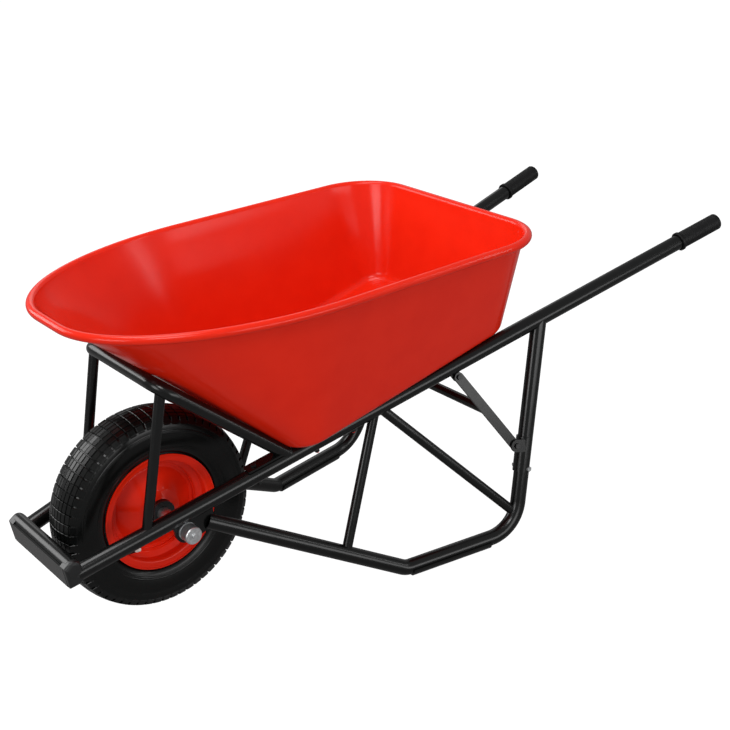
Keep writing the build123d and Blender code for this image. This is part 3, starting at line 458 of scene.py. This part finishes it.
# -------------------------------------------------------------------------------- tyre
# A block tread: rows of blocks about the crown, bars down each shoulder, and fine moulded
# rings on the sidewalls. The blocks stand on a carcass that is a little smaller.
BLOCKS_AROUND = 64
BLOCK_DEPTH = 4.2 * MM
GROOVE = 1.8 * MM
# Each row's distance from the middle and its width, in millimetres
ROWS = ((11.2, 9), (22.4, 10), (34.2, 10.5))
CROWN_RADIUS = 118 * MM
TREAD_CLEARANCE = 0.15 * MM
SIDEWALL_RING_DEPTH = 0.5 * MM
SIDEWALL_RING_HALF = 0.6 * MM
SIDEWALL_RING_RADII = [r * MM for r in (131, 134, 137, 164, 166.5, 169)]
SIDEWALL_STEP = 0.8 * MM
SIDEWALL_TOP = 183 * MM
SIDEWALL_FOOT = 119 * MM
SIDEWALL_GAP = 0.1 * MM
BULGE_RADIUS = 161 * MM
BULGE_REACH_IN = 42 * MM
BULGE_REACH_OUT = 36 * MM
BULGE_BASE = 34 * MM
BULGE_SPARE = 34.4 * MM
# The bead and its seat, as distances from the middle and radii
BEAD_POINTS = [(35.3 * MM, 118.4 * MM), (35.0 * MM, 105 * MM), (26.5 * MM, 105 * MM)]
CARCASS_CROWN_HALF = 39 * MM
CARCASS_CROWN_STEPS = 8
CARCASS_STEPS = 144
BLOCK_SINK = 1 * MM
BLOCK_BEVEL = 0.8 * MM
MIDDLE_BLOCK = 10 * MM
# The bars down each shoulder
SHOULDER_LEFT = 44.6 * MM
SHOULDER_RADIUS = 186 * MM
SHOULDER_WIDTH = 15 * MM
SHOULDER_HEIGHT = 5 * MM
SHOULDER_SHORTER = 3 * MM
SHOULDER_TILT = radians(62)


def crown_radius(left):
    """The tread's outer radius at a distance from the wheel's middle."""
    return WHEEL_RADIUS - TREAD_CLEARANCE - CROWN_RADIUS + sqrt(CROWN_RADIUS**2 - left**2)


def sidewall(radius):
    """The carcass's distance from the middle at a radius: a bulge that closes on the bead."""
    reach = BULGE_REACH_IN if radius < BULGE_RADIUS else BULGE_REACH_OUT
    share = (radius - BULGE_RADIUS) / reach
    return BULGE_BASE + (TYRE_HALF - BULGE_SPARE) * sqrt(max(0.0, 1 - share**2))


def carcass_profile():
    """Half of the carcass's section from the crown's middle to the bead."""
    points = []
    for step in range(CARCASS_CROWN_STEPS + 1):
        left = CARCASS_CROWN_HALF * step / CARCASS_CROWN_STEPS
        points.append((left, crown_radius(left) - BLOCK_DEPTH))
    radius = SIDEWALL_TOP
    while radius > SIDEWALL_FOOT:
        near_ring = any(abs(radius - ring) < SIDEWALL_RING_HALF for ring in SIDEWALL_RING_RADII)
        raised = SIDEWALL_RING_DEPTH if near_ring else 0
        points.append((min(sidewall(radius) + raised, TYRE_HALF - SIDEWALL_GAP), radius))
        radius -= SIDEWALL_STEP
    return points + BEAD_POINTS


def add_blocks(mesh, left, radius, width, length, tilt, height):
    """One row of blocks about the wheel, whose tops are at a radius and tilted."""
    cube = bmesh.ops.create_cube(mesh, size=1)["verts"]
    shape = Matrix.Diagonal((length, width, height, 1))
    bmesh.ops.transform(mesh, matrix=shape, verts=cube)
    edges = list({edge for vert in cube for edge in vert.link_edges})
    top = [edge for edge in edges if all(vert.co.z > 0 for vert in edge.verts)]
    made = bmesh.ops.bevel(
        mesh, geom=top, offset=BLOCK_BEVEL, affect="EDGES", segments=1, profile=0.5, material=-1
    )
    verts = list({v for v in cube if v.is_valid} | {v for f in made["faces"] for v in f.verts})
    lean = Matrix.Rotation(-tilt, 4, "X")
    stand = Matrix.Translation(Vector((0, left, radius))) @ lean
    drop = Matrix.Translation(Vector((0, 0, -height / 2)))
    place = Matrix.Translation(AXLE) @ stand @ drop
    bmesh.ops.transform(mesh, matrix=place, verts=verts)
    faces = list({face for vert in verts for face in vert.link_faces})
    edges = list({edge for vert in verts for edge in vert.link_edges})
    bmesh.ops.spin(
        mesh,
        geom=verts + edges + faces,
        cent=AXLE,
        axis=ACROSS,
        angle=2 * pi * (BLOCKS_AROUND - 1) / BLOCKS_AROUND,
        steps=BLOCKS_AROUND - 1,
        use_duplicate=True,
    )


def treaded_tyre():
    """The tyre: its carcass and all rows of tread."""
    mesh = bmesh.new()
    half = carcass_profile()
    whole = [(-left, radius) for left, radius in reversed(half[1:])] + half
    turned(mesh, whole, AXLE, ACROSS, Vector((0, 0, 1)), CARCASS_STEPS)
    for face in mesh.faces:
        face.smooth = True
    length = 2 * pi / BLOCKS_AROUND * WHEEL_RADIUS - GROOVE
    height = BLOCK_DEPTH + BLOCK_SINK
    add_blocks(mesh, 0, crown_radius(0), MIDDLE_BLOCK, length, 0, height)
    for side in SIDES.values():
        for left, width in ROWS:
            left = left * MM
            tilt = side * atan2(left, sqrt(CROWN_RADIUS**2 - left**2))
            radius = crown_radius(left)
            block_length = length * radius / WHEEL_RADIUS
            add_blocks(mesh, side * left, radius, width * MM, block_length, tilt, height)
        add_blocks(
            mesh,
            side * SHOULDER_LEFT,
            SHOULDER_RADIUS,
            SHOULDER_WIDTH,
            length - SHOULDER_SHORTER,
            side * SHOULDER_TILT,
            SHOULDER_HEIGHT,
        )
    piece("tyre_with_tread", mesh, "tyre_rubber", "wheel", ["tyre"], smooth=False)


treaded_tyre()

# ------------------------------------------------------------------------------- grips
# Each grip is a moulded sleeve with rings for the fingers, a collar and a rounded end.
GRIP_LENGTH = 112 * MM
GRIP_RADIUS = 18 * MM
GRIP_COLLAR_RADIUS = 20.4 * MM
GRIP_COLLAR_LENGTH = 7 * MM
GRIP_RIBS = 18
GRIP_RIB_DEPTH = 0.9 * MM
GRIP_END_ROUND = 5 * MM
GRIP_END_STEPS = 6
GRIP_END = -1260 * MM
GRIP_STEPS = 48
GRIP_SMOOTH_END = 3 * MM
GRIP_SMOOTH_COLLAR = 5 * MM
GRIP_RIB_STEPS = 6
GRIP_RIB_SHAPE = 0.6
GRIP_EASE = 0.8 * MM
GRIP_LAND = 1 * MM
GRIP_GAP = 0.1 * MM
GRIP_MOUTH_DEPTH = 4 * MM


def grip_profile():
    """The grip's outside, as distances from its closed end, from its middle to its mouth."""
    points = [(0, 0), (0, GRIP_RADIUS / 2)]
    round_centre = (GRIP_END_ROUND, GRIP_RADIUS - GRIP_END_ROUND)
    points += arc(round_centre, GRIP_END_ROUND, 180, 90, GRIP_END_STEPS)
    start = GRIP_END_ROUND + GRIP_SMOOTH_END
    stop = GRIP_LENGTH - GRIP_COLLAR_LENGTH - GRIP_SMOOTH_COLLAR
    steps = GRIP_RIBS * GRIP_RIB_STEPS
    for step in range(steps + 1):
        ripple = abs(sin(pi * GRIP_RIBS * step / steps)) ** GRIP_RIB_SHAPE
        depth = GRIP_RIB_DEPTH * (1 - ripple)
        points.append((start + (stop - start) * step / steps, GRIP_RADIUS - depth))
    collar = GRIP_LENGTH - GRIP_COLLAR_LENGTH
    eased = GRIP_COLLAR_RADIUS - GRIP_EASE
    points += [(collar - GRIP_LAND, GRIP_RADIUS), (collar, eased)]
    points += [(collar + GRIP_EASE, GRIP_COLLAR_RADIUS)]
    points += [(GRIP_LENGTH - GRIP_EASE, GRIP_COLLAR_RADIUS), (GRIP_LENGTH, eased)]
    points += [(GRIP_LENGTH, RAIL_RADIUS + GRIP_GAP)]
    points += [(GRIP_LENGTH - GRIP_MOUTH_DEPTH, RAIL_RADIUS + GRIP_GAP)]
    return points


for side_name, side in SIDES.items():
    flip = Vector((1, side, 1))
    grip_mesh = bmesh.new()
    inwards = -BACKWARD * flip
    sideways = inwards.cross(Vector((0, 0, 1))).normalized()
    turned(grip_mesh, grip_profile(), rail_at(GRIP_END) * flip, inwards, sideways, GRIP_STEPS)
    piece(side_name + "_ribbed_grip", grip_mesh, "grip_rubber", "frame", [side_name + "_grip"])

# --------------------------------------------------------------------------- axle caps
# The long cap nuts on the axle's ends have a straight knurl round their sides.
CAP_RADIUS = 17.4 * MM
CAP_FLANGE_RADIUS = 17.8 * MM
CAP_FLANGE = 3 * MM
CAP_BORE = 10.1 * MM
CAP_BORE_DEPTH = 13.5 * MM
CAP_CHAMFER = 1.6 * MM
CAP_BOSS_RADIUS = 5 * MM
CAP_BOSS_HEIGHT = 3.5 * MM
CAP_GROOVE = 0.8 * MM
KNURLS = 54
KNURL_DEPTH = 0.7 * MM
KNURL_STEPS = 4


def knurled_cap(name, side):
    """A cap nut: its bore, flange, knurled side, chamfered face and small boss."""
    cap_low, cap_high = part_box(name + "_axle_cap_nut")
    inner = cap_low.y if side > 0 else cap_high.y
    length = cap_high.y - cap_low.y
    face = length - CAP_BOSS_HEIGHT
    knurl_start = CAP_FLANGE + 2 * CAP_GROOVE
    knurl_stop = face - CAP_CHAMFER - CAP_GROOVE
    profile = [(CAP_BORE_DEPTH, 0), (CAP_BORE_DEPTH, CAP_BORE), (0, CAP_BORE)]
    profile += [(0, CAP_FLANGE_RADIUS)]
    profile += [(CAP_FLANGE, CAP_FLANGE_RADIUS), (CAP_FLANGE, CAP_RADIUS - CAP_GROOVE)]
    profile += [(CAP_FLANGE + CAP_GROOVE, CAP_RADIUS - CAP_GROOVE)]
    profile += [(knurl_start, CAP_RADIUS), (knurl_stop, CAP_RADIUS)]
    profile += [(face - CAP_CHAMFER, CAP_RADIUS - CAP_GROOVE / 2), (face, CAP_RADIUS - CAP_CHAMFER)]
    profile += [(face, CAP_BOSS_RADIUS), (length - CAP_GROOVE, CAP_BOSS_RADIUS)]
    profile += [(length, CAP_BOSS_RADIUS - CAP_GROOVE), (length, 0)]
    mesh = bmesh.new()
    centre = Vector((AXLE.x, inner, AXLE.z))
    turned(mesh, profile, centre, ACROSS * side, Vector((0, 0, 1)), KNURLS * KNURL_STEPS)
    for vert in mesh.verts:
        out = Vector((vert.co.x - AXLE.x, 0, vert.co.z - AXLE.z))
        if CAP_RADIUS - MERGE_GAP < out.length < CAP_RADIUS + MERGE_GAP:
            wave = 0.5 - 0.5 * cos(KNURLS * atan2(out.z, out.x))
            vert.co -= out.normalized() * KNURL_DEPTH * wave
    replaced = [name + "_axle_cap_nut"]
    piece(name + "_knurled_cap", mesh, "zinc_plate", "frame", replaced, smooth=False)


for side_name, side in SIDES.items():
    knurled_cap(side_name, side)

# ------------------------------------------------------------------------ nose corners
# One rounded corner closes each end of the nose, between cross tube, plate and rail.
NOSE_AHEAD = 222 * MM
NOSE_TUBE_RADIUS = 15 * MM
NOSE_TUBE_RAISE = 20 * MM
CORNER_RAIL_RADIUS = 16.3 * MM
CORNER_RAIL_AHEAD = 218 * MM
# The plate leans, so its tip stands this far behind its top edge.
PLATE_TIP_BACK = 8.9 * MM
CORNER_STEPS = 32
# How far out each level of the corner stands, and how far its outline is drawn in, in mm
CORNER_LEVELS = ((100, 0.4), (116, 0.2), (118.6, 0.7), (120.6, 2), (121.9, 4), (122.4, 6.5))


def nose_corner(name, side):
    """A rounded block: the hull of the tube's end, the plate's end and the rail's end."""
    plate_low, plate_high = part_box("nose_plate")
    tube_end = rail_at(NOSE_AHEAD) + Vector((0, 0, NOSE_TUBE_RAISE))
    rail_end = rail_at(CORNER_RAIL_AHEAD)
    mesh = bmesh.new()
    for out, inset in CORNER_LEVELS:
        left = side * out * MM
        inset = inset * MM
        for centre, radius in ((tube_end, NOSE_TUBE_RADIUS), (rail_end, CORNER_RAIL_RADIUS)):
            for step in range(CORNER_STEPS):
                turn = 2 * pi * step / CORNER_STEPS
                along = (radius - inset) * cos(turn)
                mesh.verts.new((centre.x + along, left, centre.z + (radius - inset) * sin(turn)))
        mesh.verts.new((plate_high.x - inset, left, plate_high.z - inset))
        mesh.verts.new((plate_high.x - PLATE_TIP_BACK - inset, left, plate_low.z + inset))
    hull = bmesh.ops.convex_hull(mesh, input=mesh.verts)
    inside = [item for item in hull["geom_interior"] if isinstance(item, bmesh.types.BMVert)]
    bmesh.ops.delete(mesh, geom=inside, context="VERTS")
    bmesh.ops.recalc_face_normals(mesh, faces=mesh.faces)
    plug = name + "_nose_plug"
    piece(name + "_nose_corner", mesh, SLOTS[plug], "frame", [plug], smooth=False)


for side_name, side in SIDES.items():
    nose_corner(side_name, side)

# ---------------------------------------------------------------------- floor and light
FLOOR_SIZE = 60
floor_mesh = bmesh.new()
bmesh.ops.create_grid(floor_mesh, x_segments=1, y_segments=1, size=FLOOR_SIZE / 2)
floor_data = bpy.data.meshes.new("studio_floor")
floor_mesh.to_mesh(floor_data)
floor_mesh.free()
floor = bpy.data.objects.new("studio_floor", floor_data)
bpy.context.scene.collection.objects.link(floor)
# A light table of white acrylic: its even glow keeps it plain white to the horizon. What
# it gives the barrow as light is dimmer than what the camera sees.
GLOW_AS_LIGHT = 0.14
light_table = finish_material(
    "backlit_white_acrylic",
    {"Emission Color": colour("#FFFFFF"), "Specular IOR Level": 0.0},
    ("#646464", "#666666", 300),
    (0.85, 0.9, 100),
    [],
)
table_tree = light_table.node_tree
table_seen = node(table_tree, "LightPath", {}).outputs["Is Camera Ray"]
glow = node(table_tree, "MapRange", {"Value": table_seen, "To Min": GLOW_AS_LIGHT, "To Max": 1.0})
table_shader = next(item for item in table_tree.nodes if item.type == "BSDF_PRINCIPLED")
table_tree.links.new(glow.outputs["Result"], table_shader.inputs["Emission Strength"])
floor_data.materials.append(light_table)

# A white studio cyclorama: it is plain white behind the barrow, and dimmer as a light.
AMBIENT = 0.36
world = bpy.data.worlds.new("studio")
bpy.context.scene.world = world
world.use_nodes = True
sky = world.node_tree
sky.nodes.clear()
seen = node(sky, "LightPath", {}).outputs["Is Camera Ray"]
strength = node(sky, "MapRange", {"Value": seen, "To Min": AMBIENT, "To Max": 1.0})
backdrop = node(
    sky, "Background", {"Color": colour("#FFFFFF"), "Strength": strength.outputs["Result"]}
)
node(sky, "OutputWorld", {"Surface": backdrop.outputs["Background"]})
bpy.context.scene.view_settings.view_transform = "Standard"

TARGET = Vector((0, 0, 0.4))


def softbox(name, place, size, power):
    """A rectangular soft light that faces the barrow."""
    data = bpy.data.lights.new(name, "AREA")
    data.shape = "RECTANGLE"
    data.size, data.size_y = size
    data.energy = power
    light = bpy.data.objects.new(name, data)
    bpy.context.scene.collection.objects.link(light)
    light.location = place
    light.rotation_euler = (TARGET - Vector(place)).to_track_quat("-Z", "Y").to_euler()


softbox("key_light", (2.6, 2.2, 3.4), (1.4, 1.0), 46)
softbox("side_strip", (-2.6, 3.0, 1.7), (0.3, 2.6), 12)
softbox("side_panel", (-0.4, 4.2, 0.8), (3.5, 1.4), 48)
softbox("front_panel", (4.2, 0.9, 1.2), (1.6, 1.6), 40)
softbox("far_panel", (2.3, -3.0, 1.9), (2.4, 1.8), 54)
softbox("top_light", (1.0, -0.4, 3.3), (1.8, 1.2), 38)
softbox("rear_fill", (-1.5, -3.4, 2.4), (2.0, 1.5), 8)

# ------------------------------------------------------------------------------ camera
CAMERA_PLACE = AXLE + Vector((1.1352, 2.1669, 1.2176))
LOOK = Vector((-0.566, -0.742, -0.359)).normalized()
CAMERA_ROLL = radians(0.29)
camera_data = bpy.data.cameras.new("camera")
camera_data.sensor_width = 36
camera_data.lens = 68.69
camera = bpy.data.objects.new("camera", camera_data)
bpy.context.scene.collection.objects.link(camera)
turn = LOOK.to_track_quat("-Z", "Y").to_matrix().to_4x4()
roll = Matrix.Rotation(CAMERA_ROLL, 4, "Z")
camera.matrix_world = Matrix.Translation(CAMERA_PLACE) @ turn @ roll
bpy.context.scene.camera = camera
